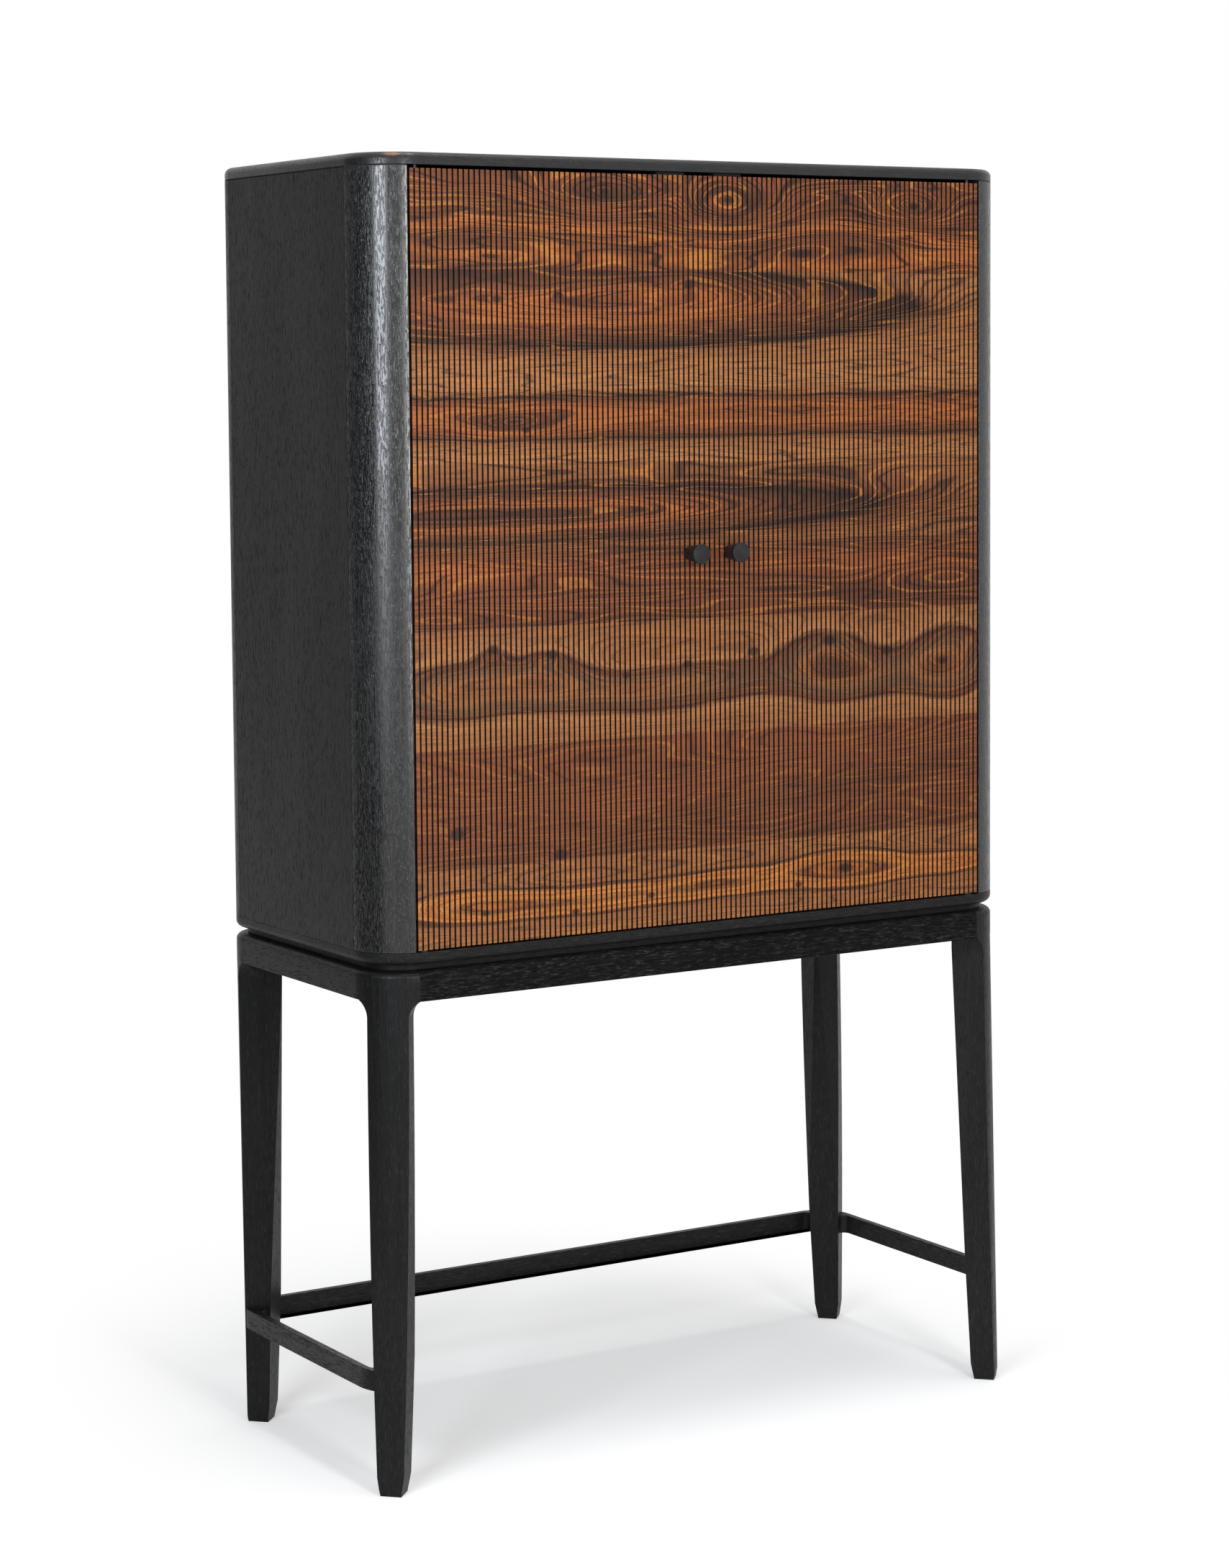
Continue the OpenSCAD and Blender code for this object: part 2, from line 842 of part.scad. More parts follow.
// bar between two corners, its ends following the legs
module stretcher(i, si, j, sj, p, size) {
    color([0.05, 0.05, 0.05])
        union() {
            difference() {
                translate([0, 0, stretch_z]) linear_extrude(height = stretch_h) {
                    intersection() {
                        band(0, stretch_t);
                        translate(p) square(size);
                        beyond(i, si);
                        beyond(j, sj);
                    }
                    flare(i, si);
                    flare(j, sj);
                }
                at_corner(i) leg_slab(i);
                at_corner(j) leg_slab(j);
            }
            tenon(i, si);
            tenon(j, sj);
        }
}

module left_stretcher() {
    stretcher(0, -1, 3, 1, [-hw - 1, fy - 1], [hw + 1, depth + 2]);
}

module right_stretcher() {
    stretcher(1, 1, 2, -1, [0, fy - 1], [hw + 1, depth + 2]);
}

module back_stretcher() {
    stretcher(3, -1, 2, 1, [-hw - 1, 0], [2 * hw + 2, by + 1]);
}

module cleat(y) {
    color([0.45, 0.33, 0.2])
        difference() {
            translate([-cleat_l / 2, y, cleat_z]) cube([cleat_l, cleat_w, cleat_w]);
            bolt_rods();
            cleat_screw_rods();
        }
}

module front_cleat() {
    cleat(fy + apron_t);
}

module back_cleat() {
    cleat(by - apron_t - cleat_w);
}

module cleat_screws() {
    color([0.6, 0.6, 0.6]) cleat_screw_rods();
}

module stand_bolts() {
    color([0.6, 0.6, 0.6]) bolt_rods();
}

top_panel();
bottom_panel();
left_side_panel();
right_side_panel();
left_corner_post();
right_corner_post();
left_back_post();
right_back_post();
back_panel();
lower_shelf();
middle_shelf();
upper_shelf();
shelf_supports();
carcass_dowels();
left_door_panel();
right_door_panel();
left_knob();
right_knob();
left_knob_screw();
right_knob_screw();
left_pivot_bushes();
right_pivot_bushes();
left_pivot_pins();
right_pivot_pins();
left_pivot_washer();
right_pivot_washer();
catch_cases();
catch_magnets();
catch_screws();
left_strike_plate();
right_strike_plate();
spacer_frame();
front_left_leg();
front_right_leg();
back_left_leg();
back_right_leg();
front_apron();
back_apron();
left_apron();
right_apron();
apron_dowels();
left_stretcher();
right_stretcher();
back_stretcher();
front_cleat();
back_cleat();
cleat_screws();
stand_bolts();
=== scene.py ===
import json
import math
from collections import namedtuple
from functools import cached_property

import bpy
from mathutils import Matrix, Vector


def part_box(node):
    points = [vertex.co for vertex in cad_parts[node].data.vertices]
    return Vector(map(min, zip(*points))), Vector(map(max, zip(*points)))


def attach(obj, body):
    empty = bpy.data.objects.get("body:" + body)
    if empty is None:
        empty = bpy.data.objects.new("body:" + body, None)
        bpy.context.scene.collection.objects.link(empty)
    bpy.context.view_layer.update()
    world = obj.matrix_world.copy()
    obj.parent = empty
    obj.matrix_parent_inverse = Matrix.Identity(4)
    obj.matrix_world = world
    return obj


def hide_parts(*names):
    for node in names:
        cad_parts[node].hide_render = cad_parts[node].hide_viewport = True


bl_info = {
    "name": "Highboard finish",
    "version": (1, 0, 0),
    "blender": (4, 5, 0),
    "location": "View3D > Sidebar > Highboard",
    "description": "Finishes the highboard: figured doors, black open-grain wood, fittings and a stage",
    "category": "Object",
}

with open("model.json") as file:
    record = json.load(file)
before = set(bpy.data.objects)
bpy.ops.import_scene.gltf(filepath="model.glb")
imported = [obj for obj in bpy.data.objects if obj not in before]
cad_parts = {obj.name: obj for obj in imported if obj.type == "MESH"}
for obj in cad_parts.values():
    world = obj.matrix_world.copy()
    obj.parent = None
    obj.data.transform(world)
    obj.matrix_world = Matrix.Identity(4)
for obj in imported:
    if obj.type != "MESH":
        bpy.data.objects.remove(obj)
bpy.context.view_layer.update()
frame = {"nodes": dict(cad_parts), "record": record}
NODES = frame["nodes"]

MM = 0.001
WHITE = (1.0, 1.0, 1.0, 1.0)

# the front of the doors and of the top panel, and the underside of that panel, in metres
DOOR_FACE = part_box("right_door_panel")[0].y
FRONT_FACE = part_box("top_panel")[0].y
SLAB_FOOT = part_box("top_panel")[0].z
GROOVE_DEPTH = 3 * MM
# the painted shade and darker stain of the grooves, as depths behind the doors' face: it begins, is whole,
# is still whole and ends
GROOVE_SHADE_DEPTHS = (0.1 * MM, 0.7 * MM, 1.1 * GROOVE_DEPTH, 1.3 * GROOVE_DEPTH)
# the painted shadow line in the joint under the top panel, as drops below it: it begins, is whole, is still
# whole and ends
JOINT_SHADOW_DROPS = (0.0, 0.3 * MM, 1.3 * MM, 1.7 * MM)
# the brown spot where the stain is rubbed off the top's front edge: x, z, and its reach along and up
RUBBED_SPOT = (-0.436, 1.598, 0.011, 0.004)
# how far behind the front face that spot is still whole, and where it has gone
SPOT_WHOLE = 10 * MM
SPOT_GONE = 20 * MM

# corners that lie closer than this are one, and faces that turn less than this are one flat face
WELD = 2e-6
FLAT = math.radians(0.15)
# an edge that turns by more than this is sharp, and is eased
CREASE = math.radians(28)
# a knob's sides, its radius at the door as a share of that at its face, and the turn of its sharp edges
KNOB_SIDES = 72
KNOB_NECK = 0.68
KNOB_CREASE = math.radians(40)

# the stage, in metres: the floor, and the card that stands left of the cabinet and out of the picture
FLOOR_RADIUS = 6.0
FLOOR_SIDES = 96
CARD_CORNERS = ((-2.2, -0.95, 0.0), (-2.2, 3.4, 0.0), (-2.2, -0.95, 2.7), (-2.2, 3.4, 2.7))
# what the near floor shows on top of its own shading
NEAR_LIFT = 0.31
# what the far floor gives as light on the cabinet; in the picture and in gloss it is 1, which is white
FAR_GLOW = 0.5
# how far from the middle the floor begins to fade and has faded, sooner to the sides than to the front
FADE_START = 0.62
FADE_END = 1.15
FADE_STRETCH = (1.6, 1.0, 1.0)
# a lamp: its place and the point it is aimed at, its width and its height in metres, and its colour
Lamp = namedtuple("Lamp", "place aim width height colour")
STRIP_LAMP = Lamp((-2.85, -1.83, 1.70), (-0.42, -0.16, 1.15), 1.25, 1.3, (0.88, 0.94, 1.0))
FRONT_LAMP = Lamp((-0.42, -3.6, 1.50), (0.0, -0.2, 1.10), 0.5, 1.8, (1.0, 1.0, 1.0))
TOP_LAMP = Lamp((0.2, -0.5, 5.8), (0.0, 0.0, 0.3), 2.4, 2.4, (1.0, 1.0, 1.0))
# the photograph's camera: its place in metres, its yaw, pitch and roll in degrees, and its lens
CAMERA_PLACE = (-2.37984, -3.815443, 1.34022)
CAMERA_TURN = (31.766, -4.371, -0.430)
SENSOR_HEIGHT = 36
LENS = 80.30
LENS_SHIFT = -0.0916
CAMERA_REACH = 60

# linear colours in the black wood: its open pores, its pale flecks of painted glint, and the painted shadow
# under the top panel
PORE_BLACK = (0.0015, 0.0015, 0.0015, 1.0)
# painted glints: pale dashes where the grain between the pores would catch light
GLINT_FLECK_GREY = (0.034, 0.034, 0.035, 1.0)
# the painted shadow line in the joint under the top panel
JOINT_SHADOW_BLACK = (0.0005, 0.0005, 0.0005, 1.0)

# wood tones, as a painter would name them, 0 to 255
TONES = {
    "pale": (176, 118, 72),
    "tan": (153, 98, 58),
    "gold": (206, 133, 62),
    "orange": (178, 102, 51),
    "red": (137, 77, 45),
    "brown": (111, 64, 38),
    "umber": (73, 43, 29),
    "dark": (37, 23, 18),
    "grey": (110, 77, 53),
    # the painted shade and darker stain inside the grooves
    "groove": (20, 10, 6),
}

# how many millimetres a full ring, and a knot, lift the grain lines
RING_LIFT = 120
KNOT_LIFT = 8
# how many millimetres the pattern of the grain moves on for each millimetre up the door
GRAIN_RATE = 0.8
# how strongly the slow and the quick waves lift the rings, and how uneven the bands make their tones
SLOW_WAVE = 0.25
QUICK_WAVE = 0.06
BAND_SHARE = 0.22
# how far to each side of a board's edge the two boards blend, in millimetres
SEAM_SOFT = 0.4
# how far an edge that isn't straight follows the slow waves, in millimetres
SEAM_SWAY = 16

# a mark in the doors' grain: the values of its pattern where it begins and is whole, its strength, its tone
Mark = namedtuple("Mark", "low high share tone")
DARK_LINE = Mark(0.37, 0.48, 0.9, "dark")
GOLD_LINE = Mark(0.10, 0.02, 0.7, "gold")
THREAD = Mark(0.50, 0.66, 0.6, "umber")
KNOT_HEART = Mark(0.12, 0.75, 0.85, "dark")
PORE = Mark(0.56, 0.66, 0.5, "umber")

# a swelling of the wood: its middle and its reach in millimetres, and how strongly it lifts the rings
Hill = namedtuple("Hill", "x z along up lift")
# a small dark knot: its middle and its reach in millimetres
Knot = namedtuple("Knot", "x z reach")
# a board of the doors: its lower edge, whether that edge is a straight seam, the level of its rings, how
# much they sway, the strength of its lines, the tones from the lowest to the highest ring, its hills and
# its knots
Board = namedtuple("Board", "foot straight level sway lines tones hills knots")

BOARDS = (
    Board(
        600, True, 0.04, 1.0, 0.62,
        ((0.00, "tan"), (0.22, "tan"), (0.28, "umber"), (0.34, "brown"), (0.42, "gold"), (0.56, "orange"),
         (0.66, "gold"), (0.78, "brown"), (0.86, "orange"), (1.00, "umber")),
        (Hill(-340, 704, 120, 19, 0.75), Hill(-160, 699, 130, 17, 0.58), Hill(20, 703, 110, 18, 0.66),
         Hill(205, 708, 90, 23, 0.85), Hill(380, 703, 110, 17, 0.60)),
        (Knot(205, 708, 7), Knot(132, 692, 4), Knot(-89, 697, 4), Knot(-198, 686, 4), Knot(-324, 695, 4)),
    ),
    Board(
        751.5, True, 0.42, 0.3, 0.50,
        ((0.00, "tan"), (0.20, "red"), (0.40, "brown"), (0.58, "red"), (0.74, "brown"), (0.90, "umber")),
        (Hill(-120, 850, 360, 60, 0.24), Hill(260, 800, 320, 40, -0.14), Hill(300, 868, 280, 26, 0.08)),
        (Knot(-362, 793, 8), Knot(-218, 758, 7)),
    ),
    Board(
        894.5, True, 0.02, 0.8, 0.42,
        ((0.00, "tan"), (0.20, "pale"), (0.30, "umber"), (0.36, "brown"), (0.50, "grey"), (0.64, "tan"),
         (0.76, "brown"), (0.90, "umber"), (1.05, "brown")),
        (Hill(-370, 962, 100, 33, 0.62), Hill(-240, 966, 80, 36, 0.50), Hill(-120, 948, 90, 28, 0.52),
         Hill(10, 958, 100, 28, 0.50), Hill(180, 968, 80, 44, 0.72), Hill(290, 956, 90, 32, 0.38),
         Hill(375, 966, 60, 48, 0.62), Hill(-310, 1006, 26, 12, 0.20), Hill(-228, 998, 26, 11, 0.18)),
        (Knot(-310, 1012, 6), Knot(-228, 1002, 6), Knot(-123, 971, 4), Knot(-34, 981, 5), Knot(65, 992, 6),
         Knot(181, 1000, 7), Knot(271, 984, 6), Knot(360, 966, 5)),
    ),
    Board(
        1036.5, True, 0.46, 0.25, 0.72,
        ((0.00, "tan"), (0.29, "orange"), (0.38, "red"), (0.46, "brown"), (0.56, "umber"), (0.72, "brown"),
         (0.90, "red")),
        (Hill(-380, 1102, 190, 22, -0.12), Hill(0, 1100, 340, 20, -0.08), Hill(330, 1094, 190, 20, -0.06),
         Hill(230, 1054, 300, 15, 0.05), Hill(-200, 1062, 300, 12, -0.04)),
        (),
    ),
    Board(
        1128, False, 0.0, 0.8, 0.80,
        ((0.00, "tan"), (0.24, "brown"), (0.30, "dark"), (0.36, "umber"), (0.50, "brown"), (0.66, "red"),
         (0.76, "orange"), (0.84, "brown"), (1.00, "umber")),
        (Hill(-290, 1171, 500, 30, 0.95), Hill(60, 1196, 160, 12, 0.06), Hill(400, 1116, 150, 16, 0.26)),
        (),
    ),
    Board(
        1232, False, 0.0, 0.8, 0.70,
        ((0.00, "pale"), (0.22, "tan"), (0.30, "dark"), (0.36, "brown"), (0.50, "red"), (0.64, "orange"),
         (0.78, "brown"), (1.00, "umber")),
        (Hill(-100, 1288, 1500, 29, 0.66), Hill(-283, 1276, 66, 15, 0.34), Hill(120, 1296, 220, 10, 0.16)),
        (Knot(-262, 1273, 4),),
    ),
    Board(
        1321.5, True, 0.0, 1.0, 0.70,
        ((0.00, "pale"), (0.24, "tan"), (0.31, "dark"), (0.38, "umber"), (0.50, "brown"), (0.64, "red"),
         (0.76, "orange"), (0.88, "red"), (1.05, "umber")),
        (Hill(-190, 1420, 500, 50, 0.84), Hill(-40, 1432, 140, 18, 0.12), Hill(-300, 1444, 140, 14, -0.10)),
        (Knot(-28, 1448, 6), Knot(-300, 1429, 5), Knot(-216, 1434, 5), Knot(248, 1439, 5)),
    ),
    Board(
        1464, True, 0.42, 1.0, 0.90,
        ((0.00, "orange"), (0.12, "red"), (0.26, "brown"), (0.36, "orange"), (0.44, "brown"), (0.62, "red"),
         (0.76, "brown"), (0.90, "umber"), (1.05, "red")),
        (Hill(-149, 1556, 72, 20, 0.42), Hill(30, 1546, 72, 31, 0.60), Hill(314, 1547, 60, 19, 0.42),
         Hill(170, 1500, 170, 20, -0.24), Hill(-300, 1502, 190, 18, -0.22), Hill(-40, 1484, 190, 12, -0.10),
         Hill(-330, 1562, 150, 14, 0.10)),
        (Knot(-149, 1558, 5), Knot(30, 1552, 5), Knot(314, 1549, 5)),
    ),
)


def painted(tone):
    """A tone written 0 to 255 as the linear colour that the shader works in."""
    channels = [c / 255 for c in tone]
    linear = [c / 12.92 if c <= 0.04045 else ((c + 0.055) / 1.055) ** 2.4 for c in channels]
    return (*linear, 1.0)


def with_grain(axis, run, across):
    """Grains a metre along the grain's axis and across it, as a stretch for noise."""
    return tuple(run if name == axis else across for name in "XYZ")


class Wire:
    """A socket of a finish. Python's operators on a number add Math nodes."""

    def __init__(self, finish, socket):
        self.finish = finish
        self.socket = socket

    def __add__(self, other):
        return self.finish.math("ADD", self, other)

    def __radd__(self, other):
        return self.finish.math("ADD", other, self)

    def __sub__(self, other):
        return self.finish.math("SUBTRACT", self, other)

    def __rsub__(self, other):
        return self.finish.math("SUBTRACT", other, self)

    def __mul__(self, other):
        return self.finish.math("MULTIPLY", self, other)

    def __rmul__(self, other):
        return self.finish.math("MULTIPLY", other, self)


class Finish:
    """A material, or the light of a world, that is built up node by node."""

    def __init__(self, owner):
        self.owner = owner
        owner.use_nodes = True
        self.tree = owner.node_tree
        self.tree.nodes.clear()

    @cached_property
    def place(self):
        """The place on the object in metres, the same on every piece."""
        return self.node("ShaderNodeTexCoord", output="Object")

    @cached_property
    def place_parts(self):
        """The place as three numbers: how far right, how deep and how high."""
        return self.outlets("ShaderNodeSeparateXYZ", {"Vector": self.place})

    def node(self, kind, settings=None, inputs=None, output=0):
        """Adds a node, sets its settings, then its sockets' values or links, and gives one output."""
        made = self.tree.nodes.new(kind)
        for name, value in (settings or {}).items():
            if name == "stops":
                elements = made.color_ramp.elements
                elements.remove(elements[1])
                elements[0].position, elements[0].color = value[0]
                for position, colour in value[1:]:
                    elements.new(position).color = colour
            else:
                setattr(made, name, value)
        for name, value in (inputs or {}).items():
            if isinstance(value, Wire):
                self.tree.links.new(value.socket, made.inputs[name])
            else:
                made.inputs[name].default_value = value
        return Wire(self, made.outputs[output]) if made.outputs else None

    def outlets(self, kind, inputs=None):
        """Adds a node and gives all its outputs, in their order."""
        first = self.node(kind, None, inputs)
        return [Wire(self, socket) for socket in first.socket.node.outputs]

    def math(self, operation, *numbers):
        return self.node("ShaderNodeMath", {"operation": operation}, dict(enumerate(numbers)))

    def vector(self, operation, *vectors, output=0):
        return self.node("ShaderNodeVectorMath", {"operation": operation}, dict(enumerate(vectors)), output)

    def noise(self, stretch, detail=3.0, roughness=0.55, distortion=0.0, output="Fac", place=None):
        """Noise whose grains are as many a unit of place along X, Y and Z as stretch says."""
        where = self.node("ShaderNodeMapping", None, {"Vector": place or self.place, "Scale": stretch})
        inputs = {
            "Vector": where,
            "Scale": 1.0,
            "Detail": detail,
            "Roughness": roughness,
            "Distortion": distortion,
        }
        return self.node("ShaderNodeTexNoise", None, inputs, output)

    def rise(self, value, low, high, to_low=0.0, to_high=1.0):
        """A smooth step of value from low to high."""
        return self.node(
            "ShaderNodeMapRange",
            {"interpolation_type": "SMOOTHSTEP"},
            {"Value": value, "From Min": low, "From Max": high, "To Min": to_low, "To Max": to_high},
        )

    def blend(self, factor, first, second, kind="MIX"):
        """A colour that goes from first to second as factor goes from 0 to 1."""
        return self.node(
            "ShaderNodeMix", {"data_type": "RGBA", "blend_type": kind}, {0: factor, 6: first, 7: second}, 2
        )

    def between(self, factor, first, second):
        """A number that goes from first to second as factor goes from 0 to 1."""
        return self.node("ShaderNodeMix", {"data_type": "FLOAT"}, {0: factor, 2: first, 3: second})

    def mound(self, place, x, z, along, up):
        """A soft swelling, 1 at its middle, that reaches along and up from there."""
        offset = self.vector("SUBTRACT", place, (x, 0.0, z))
        scaled = self.vector("MULTIPLY", offset, (1 / along, 0.0, 1 / up))
        return self.math("EXPONENT", self.vector("DOT_PRODUCT", scaled, scaled, output="Value") * -1)

    def marked(self, under, pattern, mark, strength=1.0):
        """The colour under a mark, painted over where the pattern reaches the mark's values."""
        shown = self.rise(pattern, mark.low, mark.high) * (strength * mark.share)
        return self.blend(shown, under, painted(TONES[mark.tone]))

    def ramp(self, factor, stops):
        return self.node("ShaderNodeValToRGB", {"stops": stops}, {"Fac": factor})

    def bump(self, height, depth, strength=1.0):
        return self.node("ShaderNodeBump", None, {"Height": height, "Distance": depth, "Strength": strength})

    def seen(self):
        """1 for a ray that shows this in the picture, in gloss or through glass, and 0 for its light."""
        rays = self.node("ShaderNodeLightPath").socket.node.outputs
        camera, glossy, clear = (
            Wire(self, rays[name]) for name in ("Is Camera Ray", "Is Glossy Ray", "Is Transmission Ray")
        )
        return self.math("MAXIMUM", self.math("MAXIMUM", camera, glossy), clear)

    def close(self, **sockets):
        """Ends the material in one Principled surface."""
        inputs = {name.replace("_", " "): value for name, value in sockets.items()}
        surface = self.node("ShaderNodeBsdfPrincipled", None, inputs)
        return self.end(surface)

    def end(self, surface):
        """Links the surface to the material's output, and gives the material."""
        self.node("ShaderNodeOutputMaterial", None, {"Surface": surface})
        return self.owner


def new_finish(name):
    """A finish for a new material."""
    return Finish(bpy.data.materials.new(name))


def black_wood(axis, openness, sheen, settings):
    """Black-stained wood whose pores run along one axis; openness is their depth and sheen the polish."""
    finish = new_finish(f"Black wood along {axis}, pores {openness}, sheen {sheen}")
    fibres = finish.noise(with_grain(axis, 9, 620), 4.0, 0.62)
    pores = finish.noise(with_grain(axis, 95, 620), 2.0, 0.5, 0.7)
    clouds = finish.noise(with_grain(axis, 2.2, 9), 2.0)

    # the stained fibres, dark open pores, and pale flecks that are painted glints
    open_pores = finish.rise(pores, 0.53, 0.62)
    shade = finish.rise(fibres, 0.30, 0.72) * 0.5 + finish.rise(clouds, 0.3, 0.7) * 0.5
    body = finish.blend(shade, (*settings.black_deep, 1.0), (*settings.black_worn, 1.0))
    stained = finish.blend(open_pores * (0.3 + 0.4 * openness), body, PORE_BLACK)
    # painted glints: pale grey dashes between the pores stand for light caught by the grain
    glint_flecks = finish.rise(pores, 0.43, 0.33)
    glint_flecked = finish.blend(glint_flecks * (openness * 0.8), stained, GLINT_FLECK_GREY)

    # the rubbed spot and the painted shadow line in the joint, which only show on the pieces that reach
    # there
    depth, tall = finish.place_parts[1:]
    at_front = finish.rise(depth, FRONT_FACE + SPOT_GONE, FRONT_FACE + SPOT_WHOLE)
    rubbed = finish.rise(finish.mound(finish.place, *RUBBED_SPOT) + fibres * 0.5, 0.55, 1.2) * at_front
    spotted = finish.blend(rubbed * 0.6, glint_flecked, painted(TONES["tan"]))
    # painted shadow: a near-black band just under the top panel stands for the shade in the joint
    begins, whole, still_whole, ends = (SLAB_FOOT - drop for drop in JOINT_SHADOW_DROPS)
    joint_shadow = finish.rise(tall, ends, still_whole) * finish.rise(tall, begins, whole)
    colour = finish.blend(joint_shadow, spotted, JOINT_SHADOW_BLACK)

    height = fibres * 0.25 + finish.rise(pores, 0.50, 0.60, 1.0, 0.0) * 0.75
    matt = settings.black_gloss + (0.5 - sheen) * 0.5
    worn = finish.rise(fibres, 0.25, 0.75, matt - 0.05, matt + 0.07)
    clouded = finish.rise(clouds, 0.35, 0.65, -0.03, 0.05)
    return finish.close(
        Base_Color=colour,
        Roughness=worn + clouded + open_pores * 0.2 + joint_shadow * 0.4,
        Specular_IOR_Level=sheen,
        Normal=finish.bump(height, settings.pore_depth * openness, 0.7),
    )


def door_wood(settings):
    """Edge-glued boards of strongly figured wood; shade and a darker stain are painted inside the grooves.
    """
    finish = new_finish("Figured door wood")
    right, depth, high = finish.place_parts
    # BOARDS are in millimetres, so the place on the door's face is too
    wide, tall = right * 1000, high * 1000
    flat = finish.vector("MULTIPLY", finish.place, (1000.0, 0.0, 1000.0))

    # slow and quick waves of the rings, and a wandering of the hills, so that none is a plain ellipse
    sway = (finish.noise((2.6, 2.6, 10.0), 2.0, 0.5) - 0.5) * settings.figure
    ripple = (finish.noise((9.0, 9.0, 38.0), 2.0, 0.5) - 0.5) * settings.figure
    drift = finish.noise((7.0, 7.0, 16.0), 1.0, 0.5, output="Color")
    wander = finish.vector("SUBTRACT", drift, (0.5, 0.5, 0.5))
    shift = finish.vector("MULTIPLY", wander, tuple(settings.figure * reach for reach in (60.0, 0.0, 9.0)))
    strayed = finish.vector("ADD", flat, shift)

    # the height of the rings and the strength of the lines, board by board from the lowest up
    rings, knots, lines, masks = None, None, None, []
    for board in BOARDS:
        height = (sway * SLOW_WAVE + ripple * QUICK_WAVE) * board.sway + board.level
        for hill in board.hills:
            height = height + finish.mound(strayed, hill.x, hill.z, hill.along, hill.up) * hill.lift
        for knot in board.knots:
            spot = finish.mound(flat, knot.x, knot.z, knot.reach * 1.5, knot.reach)
            knots = spot if knots is None else knots + spot
        if rings is None:
            rings, lines = height, board.lines
        else:
            edge = tall if board.straight else tall + sway * SEAM_SWAY
            mask = finish.rise(edge, board.foot - SEAM_SOFT, board.foot + SEAM_SOFT)
            masks.append(mask)
            rings = finish.between(mask, rings, height)
            lines = finish.between(mask, lines, board.lines)

    # bands, veins and threads run level along the board, and bend where the rings lift them
    grain = tall * GRAIN_RATE + rings * RING_LIFT + knots * KNOT_LIFT
    flow = finish.node("ShaderNodeCombineXYZ", None, {"X": wide, "Z": grain})
    bands = finish.noise((1 / 300, 0.0, 1 / 24), 2.0, 0.5, place=flow)
    veins = finish.noise((1 / 320, 0.0, 1 / 18), 1.0, 0.4, place=flow)
    threads = finish.noise((1 / 90, 0.0, 1 / 2.4), 2.0, 0.6, place=flow)

    # the tones of the rings, then the lines, threads and knots over them
    colour = None
    for board, mask in zip(BOARDS, [None, *masks]):
        tones = tuple((position, painted(TONES[tone])) for position, tone in board.tones)
        body = finish.ramp(rings + (bands - 0.5) * BAND_SHARE, tones)
        colour = body if colour is None else finish.blend(mask, colour, body)
    crest = finish.math("ABSOLUTE", finish.math("FRACT", veins * 9) - 0.5)
    lined = finish.marked(colour, crest, DARK_LINE, lines)
    lit = finish.marked(lined, crest, GOLD_LINE, lines)
    threaded = finish.marked(lit, threads, THREAD, lines)
    knotted = finish.marked(threaded, knots, KNOT_HEART)

    # silky fibres and short pores over all of it, and painted shade with a darker stain in the grooves
    fibres = finish.noise((16.0, 40.0, 800.0), 3.0, 0.65)
    pores = finish.noise((90.0, 300.0, 1200.0), 2.0)
    silk = finish.ramp(fibres, ((0.25, (0.66, 0.63, 0.60, 1.0)), (0.75, (1.24, 1.22, 1.20, 1.0))))
    grained = finish.blend(1.0, knotted, silk, "MULTIPLY")
    speckled = finish.marked(grained, pores, PORE)
    # painted shade and a darker stain inside the grooves, by depth behind the doors' face
    begins, whole, still_whole, ends = (DOOR_FACE + deep for deep in GROOVE_SHADE_DEPTHS)
    in_groove = finish.rise(depth, begins, whole) * finish.rise(depth, ends, still_whole)
    return finish.close(
        Base_Color=finish.blend(in_groove, speckled, painted(TONES["groove"])),
        Roughness=finish.rise(fibres, 0.2, 0.8, 0.46, 0.60),
        Specular_IOR_Level=0.28,
        Normal=finish.bump(fibres * 0.6 + finish.rise(pores, PORE.low, PORE.high, 0.4, 0.0), 0.12 * MM, 0.6),
    )


def plain_wood(name, axis, pale, deep, roughness):
    """A quiet wood for shelves, pegs and cleats, with its grain along one axis."""
    finish = new_finish(name)
    fibres = finish.noise(with_grain(axis, 8, 420), 4.0, 0.6)
    rings = finish.noise(with_grain(axis, 1.6, 22), 2.0, 0.5, 0.5)
    bands = finish.math("FRACT", rings * 9)
    shade = bands * 0.45 + fibres * 0.55
    colour = finish.blend(finish.rise(shade, 0.2, 0.8), painted(deep), painted(pale))
    return finish.close(
        Base_Color=colour,
        Roughness=finish.rise(fibres, 0.2, 0.8, roughness - 0.06, roughness + 0.06),
        Normal=finish.bump(fibres, 0.1 * MM, 0.5),
    )


def matt_black(settings):
    """Matt black lacquer with a faint orange peel."""
    finish = new_finish("Matt black lacquer")
    peel = finish.noise((900.0, 900.0, 900.0), 2.0)
    wear = finish.noise((90.0, 90.0, 90.0), 3.0)
    colour = finish.blend(finish.rise(wear, 0.3, 0.8), (*settings.lacquer, 1.0), (0.015, 0.015, 0.016, 1.0))
    return finish.close(
        Base_Color=colour,
        Roughness=finish.rise(wear, 0.2, 0.8, 0.38, 0.50),
        Specular_IOR_Level=0.3,
        Normal=finish.bump(peel, 0.02 * MM, 0.4),
    )


def metal(name, tone, roughness):
    """Plated metal with fine turning marks."""
    finish = new_finish(name)
    marks = finish.noise((300.0, 300.0, 2600.0), 2.0)
    dull = finish.noise((60.0, 60.0, 60.0), 3.0)
    colour = finish.blend(finish.rise(dull, 0.3, 0.8) * 0.5, painted(tone), painted([c * 0.8 for c in tone]))
    return finish.close(
        Base_Color=colour,
        Metallic=1.0,
        Roughness=finish.rise(marks, 0.2, 0.8, roughness - 0.08, roughness + 0.08),
        Normal=finish.bump(marks, 0.02 * MM, 0.4),
    )


